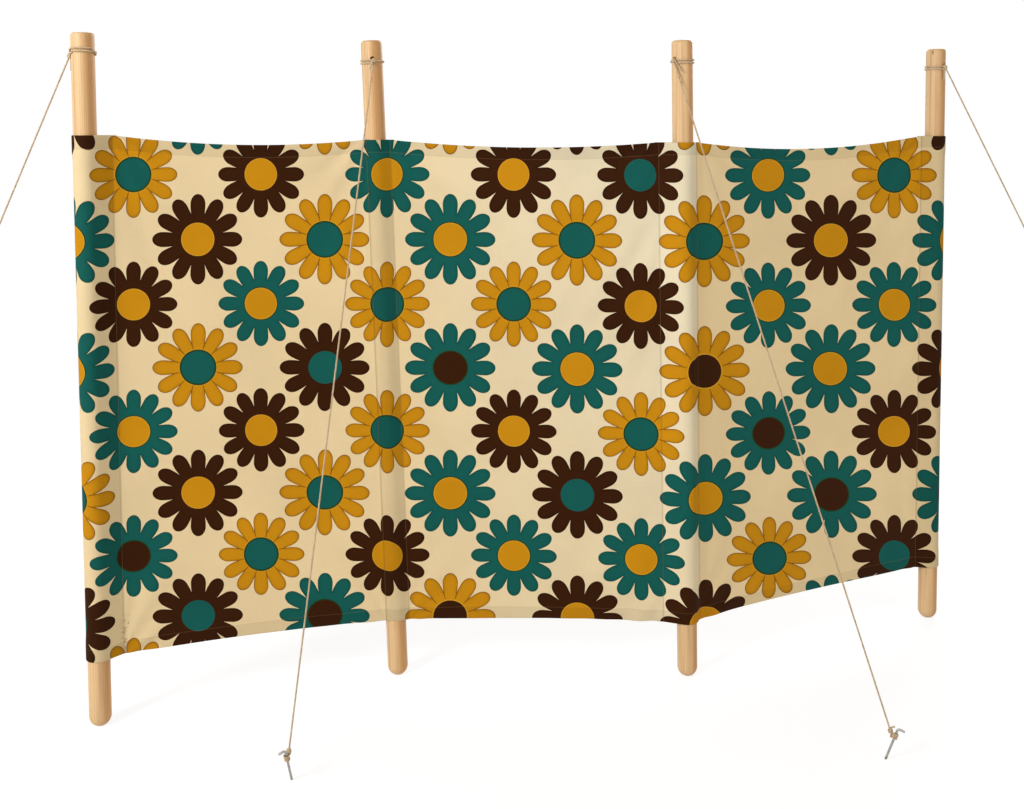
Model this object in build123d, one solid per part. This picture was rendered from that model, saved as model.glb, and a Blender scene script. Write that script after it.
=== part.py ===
from build123d import *

import os
from math import acos, atan2, cos, degrees, radians, sin, sqrt

# Beach windbreak: a cloth in three bays, sleeved on four wooden poles that stand on
# the ground and are stayed by four rope guys to four wire pegs.
# Millimetres, +Z up, ground at z = 0. The origin is the flat of the third pole's foot,
# +X runs to the right along the windbreak and the front faces -Y.

# Poles, numbered 1 to 4 from left to right
POLE_LENGTH = 1200.0
POLE_DIAMETER = 38.0
POLE_TOP_ROUND = 6.0
FOOT_FLAT = 14.0
ORIGIN_POLE = 3

# Each bay's pitch from foot to foot, and how it heads as seen from above
BAY_1_PITCH = 537.0
BAY_2_PITCH = 554.0
BAY_3_PITCH = 609.0
BAY_PITCH = {1: BAY_1_PITCH, 2: BAY_2_PITCH, 3: BAY_3_PITCH}
BAY_HEADING = {1: 20.4, 2: -0.5, 3: 25.1}

# Sideways lean of each pole: a minus tips its top to the left
POLE_LEAN = {1: 0.5, 2: -1.8, 3: -1.3, 4: -1.1}

# Cloth
CLOTH_HEIGHT = 908.0
CLOTH_FOOT_BARE = 112.0
CLOTH_THICKNESS = 1.5
HEM_DEPTH = 25.0
HEM_THICKNESS = 3.0
TOP_SAG_1 = 13.0
TOP_SAG_2 = 12.0
TOP_SAG_3 = 19.0
TOP_SAG = {1: TOP_SAG_1, 2: TOP_SAG_2, 3: TOP_SAG_3}
BELLY = 9.0
SEAM_GAP = 0.2

# Pole pockets: the seam's distance from the pole's axis, and the width sewn together
POCKET_SEAM = 29.0
END_POCKET_SEAM = 46.0
SEAM_LAP = 5.0
POCKET_CLEARANCE = 0.3

# How far each pocket has worked its way up its pole, or down
POCKET_SLIP_1 = 7.0
POCKET_SLIP_3 = -5.0
POCKET_SLIP_4 = 3.0
POCKET_SLIP = {1: POCKET_SLIP_1, 2: 0.0, 3: POCKET_SLIP_3, 4: POCKET_SLIP_4}

# Rope and its hole through each pole
ROPE_DIAMETER = 3.0
HOLE_DIAMETER = 8.0
HOLE_BELOW_TOP = 34.0
COLLAR_BELOW_TOP = 38.0
COLLAR_TURNS = 2
COLLAR_CLEARANCE = 0.15
THROUGH_RISE = 2.6
HOLE_HEADING = {1: 174.0, 2: -81.0, 3: -145.0, 4: -51.0}
KNOT_HEADING = {1: 168.0, 2: -78.0, 3: -136.0, 4: -62.0}

# Knots: turns round the standing rope, and the tag end that is left over
KNOT_TURNS = 3
TURN_PITCH = 2.8
KNOT_WRAP_RADIUS = 2.7
KNOT_STAND_OFF = 5.4
GUY_END_GAP = 0.2
TAG_LENGTH = 20.0
TAG_OFFSET = 2.4
TAG_SWING = {1: -25.0, 2: 28.0, 3: 18.0, 4: -25.0}
EYE_TAG_SWING = 30.0

# Pegs, set out from the foot of their pole
PEG_REACH_1 = 538.0
PEG_REACH_2 = 383.0
PEG_REACH_3 = 409.0
PEG_REACH_4 = 556.0
PEG_REACH = {1: PEG_REACH_1, 2: PEG_REACH_2, 3: PEG_REACH_3, 4: PEG_REACH_4}
PEG_HEADING = {1: 174.7, 2: -110.7, 3: -45.8, 4: -10.3}
PEG_WIRE = 4.0
PEG_LEAN = 18.0
PEG_ROPE_HEIGHT = 33.0
PEG_NECK = 10.0
PEG_HOOK_RADIUS = 7.0
PEG_TIP = 9.0
PEG_TIP_ROUND = 1.4
EYE_RADIUS = 6.5
EYE_SEAT_GAP = 0.2
EYE_NECK = 4.0

POLES = sorted(POLE_LEAN)
BAYS = sorted(BAY_PITCH)

pole_radius = POLE_DIAMETER / 2
rope_radius = ROPE_DIAMETER / 2
wire_radius = PEG_WIRE / 2
foot_centre = sqrt(pole_radius**2 - (FOOT_FLAT / 2) ** 2)
hole_height = POLE_LENGTH - HOLE_BELOW_TOP
collar_height = POLE_LENGTH - COLLAR_BELOW_TOP
collar_radius = pole_radius + COLLAR_CLEARANCE + rope_radius
knot_radius = pole_radius + KNOT_STAND_OFF
knot_length = (KNOT_TURNS - 1) * TURN_PITCH + ROPE_DIAMETER
sleeve_inner = pole_radius + POCKET_CLEARANCE
sleeve_outer = sleeve_inner + CLOTH_THICKNESS


def flat_direction(heading):
    """Unit vector on the ground at this heading, in degrees from +X."""
    return Vector(cos(radians(heading)), sin(radians(heading)), 0)


def foot_points():
    """Place each foot: the bays run both ways from the origin pole."""
    feet = {ORIGIN_POLE: Vector(0, 0, 0)}
    for number in range(ORIGIN_POLE, POLES[0], -1):
        step = flat_direction(BAY_HEADING[number - 1]) * BAY_PITCH[number - 1]
        feet[number - 1] = feet[number] - step
    for number in range(ORIGIN_POLE, POLES[-1]):
        step = flat_direction(BAY_HEADING[number]) * BAY_PITCH[number]
        feet[number + 1] = feet[number] + step
    return feet


FEET = foot_points()


def pole_place(number):
    """Stand a piece that is drawn on an upright pole onto the leaning one."""
    foot = FEET[number]
    tilt = Rot(0, POLE_LEAN[number], 0) * Pos(0, 0, -foot_centre)
    return Pos(foot.X, foot.Y, foot_centre) * tilt


def on_pole(number, point):
    """World place of a point given in the upright pole's own frame."""
    return (pole_place(number) * Pos(point.X, point.Y, point.Z)).position


def make_pole(number):
    """Round pole, eased at the top, ball-rounded at the foot and flat where it stands."""
    with BuildPart() as blank:
        with BuildSketch(Plane.XZ):
            with BuildLine():
                Line((0, foot_centre - pole_radius), (0, POLE_LENGTH))
                Line((0, POLE_LENGTH), (pole_radius, POLE_LENGTH))
                Line((pole_radius, POLE_LENGTH), (pole_radius, foot_centre))
                CenterArc((0, foot_centre), pole_radius, -90, 90)
            make_face()
        revolve(axis=Axis.Z)
        top_edge = blank.edges().filter_by(GeomType.CIRCLE).sort_by(Axis.Z)[-1]
        fillet(top_edge, POLE_TOP_ROUND)
    hole = Rot(0, 0, HOLE_HEADING[number]) * Rot(0, 90, 0) * Cylinder(
        HOLE_DIAMETER / 2, POLE_DIAMETER + ROPE_DIAMETER
    )
    drilled = blank.part - Pos(0, 0, hole_height) * hole
    standing = pole_place(number) * drilled
    return split(standing, Plane.XY, keep=Keep.TOP)


def wing(heading, seam, radius, half_tip):
    """Straight side of the sleeve: tangents from the round part to the seam."""
    slope = acos((radius - half_tip) / seam)
    near = Vector(radius * cos(slope), radius * sin(slope))
    far = Vector(seam + half_tip * cos(slope), half_tip * sin(slope))
    outline = Polygon(
        (0, 0),
        (near.X, -near.Y),
        (far.X, -far.Y),
        (far.X, far.Y),
        (near.X, near.Y),
        align=None,
    )
    return Rot(0, 0, heading) * outline


def seam_distance(number):
    """Distance from a pole's axis to its pocket's seams."""
    if number in (POLES[0], POLES[-1]):
        return END_POCKET_SEAM
    return POCKET_SEAM


def seam_edge(number):
    """Distance from a pole's axis to the flat end of its pocket's wings."""
    seam = seam_distance(number)
    slope = acos(sleeve_inner / seam)
    return seam + CLOTH_THICKNESS * cos(slope)


def wing_headings(number):
    """Headings of the bays that leave a pole: one at the ends, two inside."""
    headings = []
    if number > POLES[0]:
        headings.append(BAY_HEADING[number - 1] + 180)
    if number < POLES[-1]:
        headings.append(BAY_HEADING[number])
    return headings


def make_pocket(number):
    """Sleeve of two cloth layers that wrap the pole and meet at the seams."""
    seam = seam_distance(number)
    outside = Circle(sleeve_outer)
    inside = Circle(sleeve_inner)
    for heading in wing_headings(number):
        outside += wing(heading, seam, sleeve_outer, CLOTH_THICKNESS)
        inside += wing(heading, seam - SEAM_LAP, sleeve_inner, 0)
    section = outside - inside
    sleeve = extrude(section, amount=CLOTH_HEIGHT)
    bottom = CLOTH_FOOT_BARE + POCKET_SLIP[number]
    return pole_place(number) * Pos(0, 0, bottom) * sleeve


def cloth_edge_point(bay, side, height):
    """Point on the seam at the bay's left or right end, level with this pocket height."""
    number = bay if side == "left" else bay + 1
    turn = 0 if side == "left" else 180
    reach = seam_edge(number) + SEAM_GAP
    point = flat_direction(BAY_HEADING[bay] + turn) * reach
    return on_pole(number, point + Vector(0, 0, height + POCKET_SLIP[number]))


def cloth_strip(bay, low, high, low_sag, high_sag, thickness):
    """Sheet between two heights of a bay, bellied back and sagging between the poles."""
    rows = []
    back = flat_direction(BAY_HEADING[bay] + 90) * BELLY
    for height, sag in ((low, low_sag), (high, high_sag)):
        left = cloth_edge_point(bay, "left", height)
        right = cloth_edge_point(bay, "right", height)
        middle = (left + right) * 0.5
        # A parabola's handle stands off twice as far as its middle
        handle = middle + back * 2 - Vector(0, 0, 2 * sag)
        rows.append([left, handle, right])
    face = Face.make_bezier_surface(rows)
    return thicken(face, amount=thickness / 2, both=True)


def make_bay(bay):
    """Single cloth between the two hems."""
    low = CLOTH_FOOT_BARE + HEM_DEPTH + SEAM_GAP
    high = CLOTH_FOOT_BARE + CLOTH_HEIGHT - HEM_DEPTH - SEAM_GAP
    return cloth_strip(bay, low, high, 0, TOP_SAG[bay], CLOTH_THICKNESS)


def make_top_hem(bay):
    """Turned hem that carries the sagging top edge."""
    high = CLOTH_FOOT_BARE + CLOTH_HEIGHT
    sag = TOP_SAG[bay]
    return cloth_strip(bay, high - HEM_DEPTH, high, sag, sag, HEM_THICKNESS)


def make_bottom_hem(bay):
    """Turned hem along the straight bottom edge."""
    low = CLOTH_FOOT_BARE
    return cloth_strip(bay, low, low + HEM_DEPTH, 0, 0, HEM_THICKNESS)


def rod(start, end, radius):
    """Round rod between two points."""
    run = end - start
    plane = Plane(origin=start, z_dir=run)
    return extrude(plane * Circle(radius), amount=run.length)


def round_end(point, radius):
    """Ball that rounds the end of a rope."""
    return Pos(point.X, point.Y, point.Z) * Sphere(radius)


def knot_point(number):
    """Middle of the knot, beside the collar of its pole."""
    out = flat_direction(KNOT_HEADING[number]) * knot_radius
    return on_pole(number, out + Vector(0, 0, collar_height))


def peg_ground_point(number):
    """Where a peg's wire goes into the ground."""
    return FEET[number] + flat_direction(PEG_HEADING[number]) * PEG_REACH[number]


def guy_line(number):
    """Lay out one guy: its knot, the peg's rope point and the directions between."""
    top = knot_point(number)
    ground = peg_ground_point(number)
    outward = Vector(ground.X - top.X, ground.Y - top.Y, 0).normalized()
    heading = degrees(atan2(outward.Y, outward.X))
    lean = radians(PEG_LEAN)
    shaft = outward * sin(lean) + Vector(0, 0, cos(lean))
    across = outward * cos(lean) - Vector(0, 0, sin(lean))
    rope_point = ground + shaft * (PEG_ROPE_HEIGHT / cos(lean))
    # The eye's far side bears on the wire's outer side, a hair clear of it
    seat = rope_point + across * (wire_radius + rope_radius + EYE_SEAT_GAP)
    up = (top - seat).normalized()
    side = up.cross(outward).normalized()
    rise = side.cross(up)
    eye_middle = seat + up * EYE_RADIUS
    barrel = seat + up * (2 * EYE_RADIUS + EYE_NECK + knot_length / 2)
    return {
        "top": top,
        "heading": heading,
        "rope_point": rope_point,
        "up": up,
        "side": side,
        "rise": rise,
        "eye_middle": eye_middle,
        "barrel": barrel,
    }


def wound_rope(radius, turns):
    """Turns of rope laid side by side round an axis, as one ring with a groove between."""
    section = None
    for turn in range(turns):
        height = (turn - (turns - 1) / 2) * TURN_PITCH
        circle = Plane.XZ * Pos(radius, height) * Circle(rope_radius)
        section = circle if section is None else section + circle
    return revolve(section, axis=Axis.Z)


def wrapped_knot(middle, along):
    """Turns wound tight round the standing rope, which shows at both ends."""
    core = Cylinder(rope_radius, knot_length)
    knot = core + wound_rope(KNOT_WRAP_RADIUS, KNOT_TURNS)
    return Plane(origin=middle, z_dir=along) * knot


def tag_end(middle, along, aside, swing):
    """Tail of rope that leaves a knot beside the standing rope, swung off its line."""
    turn = radians(swing)
    sign = 1 if swing > 0 else -1
    start = middle + aside * (sign * TAG_OFFSET)
    tip = start + (along * cos(turn) + aside * sin(turn)) * TAG_LENGTH
    return rod(start, tip, rope_radius) + round_end(tip, rope_radius)


def make_hitch(number):
    """Rope through the hole, two turns round the pole, and the knot with its tag."""
    turns = Pos(0, 0, collar_height) * wound_rope(collar_radius, COLLAR_TURNS)
    across = flat_direction(HOLE_HEADING[number]) * collar_radius
    level = Vector(0, 0, collar_height + THROUGH_RISE)
    through = rod(level - across, level + across, rope_radius)
    bends = round_end(level - across, rope_radius) + round_end(level + across, rope_radius)
    collar = pole_place(number) * (through + bends + turns)
    line = guy_line(number)
    knot = wrapped_knot(line["top"], line["up"])
    tag = tag_end(line["top"], line["up"] * -1, line["rise"], TAG_SWING[number])
    return collar + knot + tag


def make_guy(number):
    """Taut rope from the pole's knot to the eye's knot."""
    line = guy_line(number)
    trim = line["up"] * (knot_length / 2 + GUY_END_GAP)
    return rod(line["barrel"] + trim, line["top"] - trim, rope_radius)


def make_eye(number):
    """Rope eye round the peg, closed by a knot with its tag."""
    line = guy_line(number)
    loop_axis = line["up"].cross(line["side"])
    loop = Plane(origin=line["eye_middle"], z_dir=loop_axis) * Torus(EYE_RADIUS, rope_radius)
    neck_start = line["eye_middle"] + line["up"] * EYE_RADIUS
    neck = rod(neck_start, line["barrel"], rope_radius)
    knot = wrapped_knot(line["barrel"], line["up"])
    tag = tag_end(line["barrel"], line["up"], line["side"], EYE_TAG_SWING)
    return loop + neck + knot + tag


def make_peg(number):
    """Hooked wire peg that leans away from its pole, cut level with the ground."""
    line = guy_line(number)
    root = 2 * PEG_ROPE_HEIGHT
    with BuildPart() as peg:
        with BuildLine(Plane.XZ) as path:
            shank = Line((0, -root), (0, PEG_NECK))
            hook = JernArc(start=shank @ 1, tangent=shank % 1, radius=PEG_HOOK_RADIUS, arc_size=-180)
            Line(hook @ 1, hook @ 1 + Vector(0, 0, -PEG_TIP))
        with BuildSketch(Plane(origin=(0, 0, -root), z_dir=(0, 0, 1))):
            Circle(wire_radius)
        sweep()
        tip_edge = peg.edges().filter_by(GeomType.CIRCLE).sort_by(Axis.X)[-1]
        fillet(tip_edge, PEG_TIP_ROUND)
    point = line["rope_point"]
    place = Pos(point.X, point.Y, point.Z) * Rot(0, 0, line["heading"]) * Rot(0, PEG_LEAN, 0)
    return split(place * peg.part, Plane.XY, keep=Keep.TOP)


def save(shape, name):
    export_step(shape, f"parts/{name}.step")


os.makedirs("parts", exist_ok=True)
for number in POLES:
    save(make_pole(number), f"pole_{number}")
    save(make_pocket(number), f"pocket_{number}")
    save(make_hitch(number), f"hitch_{number}")
    save(make_guy(number), f"guy_{number}")
    save(make_eye(number), f"eye_{number}")
    save(make_peg(number), f"peg_{number}")
for bay in BAYS:
    save(make_bay(bay), f"bay_{bay}")
    save(make_top_hem(bay), f"top_hem_{bay}")
    save(make_bottom_hem(bay), f"bottom_hem_{bay}")

for number in POLES:
    foot = FEET[number]
    line = guy_line(number)
    length = (line["top"] - line["barrel"]).length
    print(f"pole {number} foot {foot.X:.1f} {foot.Y:.1f}, guy {length:.0f} mm between knots")
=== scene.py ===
# %% [markdown]
# # Beach windbreak
# A printed cloth stands in three bays on four round wooden poles. The poles slip into
# sleeves of the cloth, and a thin rope runs from each pole down to a hooked wire peg.
# The measured model is loaded first and stays as it is. Everything that is made here is
# laid over it, in metres, at the same place.

# %% Load the measured model
import math
from functools import partial

import bpy
import numpy as np
from mathutils import Matrix, Vector


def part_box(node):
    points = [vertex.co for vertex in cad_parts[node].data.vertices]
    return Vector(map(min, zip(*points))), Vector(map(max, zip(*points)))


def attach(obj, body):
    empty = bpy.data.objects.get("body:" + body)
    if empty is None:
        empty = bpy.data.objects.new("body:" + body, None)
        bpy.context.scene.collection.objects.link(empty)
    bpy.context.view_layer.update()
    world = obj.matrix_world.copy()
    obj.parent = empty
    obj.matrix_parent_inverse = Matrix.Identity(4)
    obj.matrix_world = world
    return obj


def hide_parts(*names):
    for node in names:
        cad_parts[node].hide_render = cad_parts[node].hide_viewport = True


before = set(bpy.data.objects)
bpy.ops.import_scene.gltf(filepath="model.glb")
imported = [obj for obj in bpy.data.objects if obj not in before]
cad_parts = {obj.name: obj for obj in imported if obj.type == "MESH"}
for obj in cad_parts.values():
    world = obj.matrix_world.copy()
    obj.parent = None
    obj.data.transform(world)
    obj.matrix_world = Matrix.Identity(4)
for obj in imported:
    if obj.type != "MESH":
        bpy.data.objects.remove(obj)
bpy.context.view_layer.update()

# %% [markdown]
# ## Sizes
# The driving sizes are the same as the measured model's. Everything else is worked out
# from them, so a pocket follows its pole and a rope ends at its peg.

# %% Driving sizes
mm = 0.001
pole_length = 1200 * mm
pole_radius = 19 * mm
pole_top_round = 6 * mm
foot_flat = 7 * mm
bay_pitch = {1: 537 * mm, 2: 554 * mm, 3: 609 * mm}
bay_heading = {1: 20.4, 2: -0.5, 3: 25.1}
pole_lean = {1: 0.5, 2: -1.8, 3: -1.3, 4: -1.1}

cloth_height = 908 * mm
cloth_bare = 112 * mm
pocket_slip = {1: 10 * mm, 2: 0.0, 3: -5 * mm, 4: 3 * mm}
hem_depth = 25 * mm
top_sag = {1: 13 * mm, 2: 12 * mm, 3: 19 * mm}
belly = 9 * mm
seam_left = {2: 20 * mm, 3: 45 * mm, 4: 36 * mm}
seam_right = {1: 42 * mm, 2: 27 * mm, 3: 25 * mm}
seam_forward = {1: 0.0, 2: 9 * mm, 3: 6 * mm, 4: 0.0}

rope_radius = 1.5 * mm
hole_radius = 4 * mm
hole_height = pole_length - 34 * mm
collar_height = pole_length - 38 * mm
hole_heading = {1: 174, 2: -81, 3: -145, 4: -51}
hole_slant = {1: 14, 2: 14, 3: -14, 4: 14}
wrap_way = {1: -1, 2: 1, 3: -1, 4: 1}
knot_heading = {1: 168, 2: -78, 3: -136, 4: -62}

# %% Where the poles stand
def flat_way(heading):
    """Unit vector on the ground at this heading, in degrees from +X."""
    return Vector((math.cos(math.radians(heading)), math.sin(math.radians(heading)), 0))


def up_by(height):
    """Vector that points straight up and is this long."""
    return Vector((0, 0, height))


def turn_by(degrees, axis="Z"):
    """Matrix that turns things round an axis through the origin."""
    return Matrix.Rotation(math.radians(degrees), 4, axis)


feet = {3: Vector((0, 0, 0))}
feet[2] = feet[3] - flat_way(bay_heading[2]) * bay_pitch[2]
feet[1] = feet[2] - flat_way(bay_heading[1]) * bay_pitch[1]
feet[4] = feet[3] + flat_way(bay_heading[3]) * bay_pitch[3]
feet = dict(sorted(feet.items()))
foot_centre = math.sqrt(pole_radius**2 - foot_flat**2)


def pole_place(number):
    """Matrix that stands an upright pole on its foot and leans it."""
    centre = up_by(foot_centre)
    lean = turn_by(pole_lean[number], "Y")
    return Matrix.Translation(feet[number] + centre) @ lean @ Matrix.Translation(-centre)


for number, foot in feet.items():
    print("pole", number, "stands at", [round(value, 3) for value in foot])

# %% [markdown]
# ## Camera
# The camera stands a little over a metre up and looks slightly down. A small lens shift
# frames the windbreak low in the picture and keeps its poles upright, as a view camera
# with a dropped front would.

# %% Camera
image_width = 1024
image_height = 809
focal_pixels = 1150
eye_line = 230.6


def add_object(name, data):
    """Put a new object with this data into the scene."""
    added = bpy.data.objects.new(name, data)
    bpy.context.scene.collection.objects.link(added)
    return added


lens = bpy.data.cameras.new("camera")
camera = add_object("camera", lens)
bpy.context.scene.camera = camera
lens.sensor_width = 36
lens.lens = focal_pixels / image_width * lens.sensor_width
lens.shift_y = (eye_line - image_height / 2) / image_width
camera.location = (-0.3352, -2.1098, 1.056)
camera.rotation_euler = (math.radians(90 - 5.5), 0, 0)
bpy.context.scene.view_settings.view_transform = "Standard"
print("lens", round(lens.lens, 1), "mm, shift", round(lens.shift_y, 3))

# %% [markdown]
# ## Shader arithmetic
# A pattern is easier to read as a formula than as a web of nodes. `Value` wraps one
# output of a node, and every sum on it adds the Math node that works it out. `Finish`
# makes one material and adds any other node through a single method.

# %% A value that flows through the shader
def maths(operation, *values):
    """Math node for this operation, in the material that its values belong to."""
    finish = next(value.finish for value in values if isinstance(value, Value))
    return finish.node("Math", {"operation": operation}, dict(enumerate(values)))


class Value:
    """One output of a node. Arithmetic on it adds Math nodes."""

    def __init__(self, finish, output):
        self.finish = finish
        self.output = output

    __add__ = lambda self, other: maths("ADD", self, other)
    __sub__ = lambda self, other: maths("SUBTRACT", self, other)
    __mul__ = lambda self, other: maths("MULTIPLY", self, other)
    __truediv__ = lambda self, other: maths("DIVIDE", self, other)
    __radd__ = lambda self, other: maths("ADD", other, self)
    __rsub__ = lambda self, other: maths("SUBTRACT", other, self)
    __rmul__ = lambda self, other: maths("MULTIPLY", other, self)
    __rtruediv__ = lambda self, other: maths("DIVIDE", other, self)
    __pow__ = lambda self, other: maths("POWER", self, other)
    __lt__ = lambda self, other: maths("LESS_THAN", self, other)
    __gt__ = lambda self, other: maths("GREATER_THAN", self, other)
    __abs__ = lambda self: maths("ABSOLUTE", self)
    __round__ = lambda self: maths("FLOOR", self + 0.5)

    def rise(self, low, high):
        """0 below low, 1 above high, and smooth between."""
        settings = {"interpolation_type": "SMOOTHSTEP"}
        return self.finish.node("MapRange", settings, {0: self, 1: low, 2: high})


# %% A material and its nodes
class Finish:
    """The nodes of one material, or of the world. Each call of node adds one."""

    def __init__(self, name, kind="materials"):
        self.owner = getattr(bpy.data, kind).new(name)
        self.owner.use_nodes = True
        self.tree = self.owner.node_tree
        self.tree.nodes.clear()

    def node(self, kind, settings=None, inputs=None, out=0):
        """Add a node: its settings first, then the values or links of its sockets."""
        made = self.tree.nodes.new("ShaderNode" + kind)
        for name, value in (settings or {}).items():
            setattr(made, name, value)
        for name, value in (inputs or {}).items():
            socket = made.inputs[name]
            if isinstance(value, Value):
                self.tree.links.new(value.output, socket)
            elif hasattr(value, "__len__") and len(value) == 3 and socket.type == "RGBA":
                socket.default_value = (*value, 1)
            else:
                socket.default_value = value
        return Value(self, made.outputs[out]) if made.outputs else None

    def carried(self, name, out=2):
        """What the mesh itself carries under this name: 2 reads a number, 1 a vector."""
        return self.node("Attribute", {"attribute_name": name}, out=out)

    def part(self, vector, axis):
        """One of the three numbers of a vector: 0, 1 or 2 for its x, y or z."""
        return self.node("SeparateXYZ", {}, {0: vector}, out=axis)

    def blend(self, share, first, second):
        """First colour where share is 0, second where it is 1."""
        inputs = {0: share, 6: first, 7: second}
        return self.node("Mix", {"data_type": "RGBA"}, inputs, out=2)

    def shade(self, colour, amount):
        """Colour made darker or lighter: 1 leaves it as it is."""
        return self.node("VectorMath", {"operation": "SCALE"}, {0: colour, 3: amount})

    def scatter(self, place, size, detail=2.0, stretch=(1, 1, 1)):
        """Soft random value from 0 to 1, its blobs about this many metres across."""
        scaled = self.node("Mapping", {}, {0: place, 3: stretch})
        return self.node("TexNoise", {}, {0: scaled, 2: 1 / size, 3: detail})

    def raise_surface(self, height, depth, strength=1.0):
        """Bump whose height of 1 stands this many metres proud."""
        return self.node("Bump", {}, {"Strength": strength, "Distance": depth, "Height": height})

    def finish(self, **sockets):
        """Close the material with the surface shader."""
        inputs = {name.replace("_", " "): value for name, value in sockets.items()}
        surface = self.node("BsdfPrincipled", {}, inputs)
        self.node("OutputMaterial", {}, {0: surface})
        return self.owner


def paint(red, green, blue):
    """Colour as a paint chart gives it, 0 to 255, turned into the shader's own scale."""
    scaled = [value / 255 for value in (red, green, blue)]
    return tuple(v / 12.92 if v <= 0.04045 else ((v + 0.055) / 1.055) ** 2.4 for v in scaled)


print("a middle grey of 128 is", round(paint(128, 128, 128)[0], 3), "to the shader")

# %% [markdown]
# ## Wood
# The poles are turned softwood, only sanded, with straight grain along the pole, a few
# darker streaks, and growth rings on the sawn top. One pattern gives all of it: rings
# round a pith that lies outside the pole, and darker wood towards it. Each pole carries
# its own coordinates, so its grain leans with it and no two poles are cut from the same
# place in the tree. A few pin knots are listed one by one.
# Every pole's pale side is turned to the front left, towards the key lamp, so its darker wood lies
# on its right: heartwood colour that is also painted shade.

# %% How each pole lies in the tree
pith_reach = 75 * mm
ring_pitch = 3.1 * mm
tree_apart = 37.0
# Heading of each pole's pale side, turned towards the key lamp, so the darker wood is painted shade
# on the far side.
pale_towards_light = {1: 205, 2: 200, 3: 196, 4: 192}
small_knots = [
    (4, -128, 8 * mm, 2.4 * mm),
    (2, -60, 0.93, 3.2 * mm),
    (3, 110, 0.52, 4 * mm),
    (1, 60, 0.31, 3.6 * mm),
]


def in_tree(number, point):
    """Place in the tree for a point on an upright pole, its pale side away from the pith and turned
    towards the key lamp, so the darker wood is painted shade as well.
    """
    return turn_by(-pale_towards_light[number]) @ point + Vector((pith_reach, 0, tree_apart * number))


print("each pole is sawn", round(pith_reach * 1000), "mm from the pith")


# %% Wood finish
def make_wood():
    wood = Finish("pole wood")
    place = wood.carried("grain", out=1)
    wander = wood.scatter(place, 0.09, 1.0, (1, 1, 0.16)) - 0.5
    east = wood.part(place, 0) + wander * 0.011
    north = wood.part(place, 1) + wander * 0.006
    reach = (east * east + north * north) ** 0.5
    rings = maths("FRACT", reach / ring_pitch)
    late = rings.rise(0.25, 0.88) * (1 - rings.rise(0.90, 1.0)) * 0.45
    # Darker heartwood towards the pith, which also paints shade on the side away from the key lamp.
    heart_and_shade = 1 - (reach + wander * 0.02).rise(pith_reach - 4 * mm, pith_reach + 9 * mm)
    fibre = wood.scatter(place, 0.0016, 3.0, (1, 1, 0.018))
    streak = wood.scatter(place, 0.008, 2.0, (1, 1, 0.03)).rise(0.45, 0.75)
    cloud = wood.scatter(place, 0.12, 2.0, (1, 1, 0.35))

    pale = wood.blend(late, paint(218, 182, 134), paint(200, 152, 96))
    dark = wood.blend(late, paint(198, 148, 90), paint(172, 117, 62))
    colour = wood.blend(heart_and_shade, pale, dark)
    colour = wood.blend(streak * 0.34, colour, paint(150, 98, 54))
    colour = wood.blend((fibre - 0.5).rise(0.02, 0.20) * 0.20, colour, paint(146, 98, 56))
    colour = wood.shade(colour, 0.90 + cloud * 0.2)
    squeeze = (1, 1, 0.4)
    here = wood.node("VectorMath", {"operation": "MULTIPLY"}, {0: place, 1: squeeze})
    for number, heading, below_top, size in small_knots:
        on_skin = flat_way(heading) * pole_radius + up_by(pole_length - below_top)
        there = [m * s for m, s in zip(in_tree(number, on_skin), squeeze)]
        apart = wood.node("VectorMath", {"operation": "DISTANCE"}, {0: here, 1: there}, out=1)
        colour = wood.blend((1 - apart.rise(size * 0.4, size)) * 0.75, colour, paint(92, 56, 34))
    height = fibre * 0.6 + late
    return wood.finish(
        Base_Color=colour,
        Roughness=0.40 + fibre * 0.16,
        Normal=wood.raise_surface(height, 0.00018, 0.6),
    )


wood_finish = make_wood()
print("wood uses", len(wood_finish.node_tree.nodes), "nodes")

# %% [markdown]
# ## Poles
# A pole is made as on a lathe: half of its outline is drawn point by point, from the
# flat of the foot up the ball and the straight side and over the eased top, and then
# spun round the axis. The cutter for the rope's hole flares a little at both ends,
# because sanding eases the edges, and it drills a little aslant, as by hand, so one
# looks into the hole and not through it.

# %% Helpers for drawing by hand
def start_clean():
    """Leave edit mode and select nothing, so the next tool touches only its own piece."""
    if bpy.context.object and bpy.context.object.mode != "OBJECT":
        bpy.ops.object.mode_set(mode="OBJECT")
    bpy.ops.object.select_all(action="DESELECT")


def close_mesh():
    """Turn all faces outwards and leave edit mode."""
    bpy.ops.mesh.select_all(action="SELECT")
    bpy.ops.mesh.normals_make_consistent(inside=False)
    bpy.ops.object.mode_set(mode="OBJECT")


def draw_outline(name, points):
    """Edge chain through these points: one vertex, extruded from place to place."""
    start_clean()
    bpy.ops.mesh.primitive_plane_add(size=0.01)
    piece = bpy.context.object
    piece.name = name
    bpy.ops.object.mode_set(mode="EDIT")
    bpy.ops.mesh.merge(type="CENTER")
    bpy.ops.transform.translate(value=points[0])
    for before, after in zip(points, points[1:]):
        step = tuple(b - a for a, b in zip(before, after))
        bpy.ops.mesh.extrude_region_move(TRANSFORM_OT_translate={"value": step})
    return piece


def spin_round(piece, steps):
    """Turn the drawn outline round the upright axis and close the skin."""
    bpy.ops.mesh.select_all(action="SELECT")
    bpy.ops.mesh.spin(steps=steps, angle=math.tau, center=(0, 0, 0), axis=(0, 0, 1))
    bpy.ops.mesh.select_all(action="SELECT")
    bpy.ops.mesh.remove_doubles(threshold=0.01 * mm)
    close_mesh()
    return piece


def take_up(piece):
    """Select one piece alone and make it the active one."""
    start_clean()
    piece.select_set(True)
    bpy.context.view_layer.objects.active = piece


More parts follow.
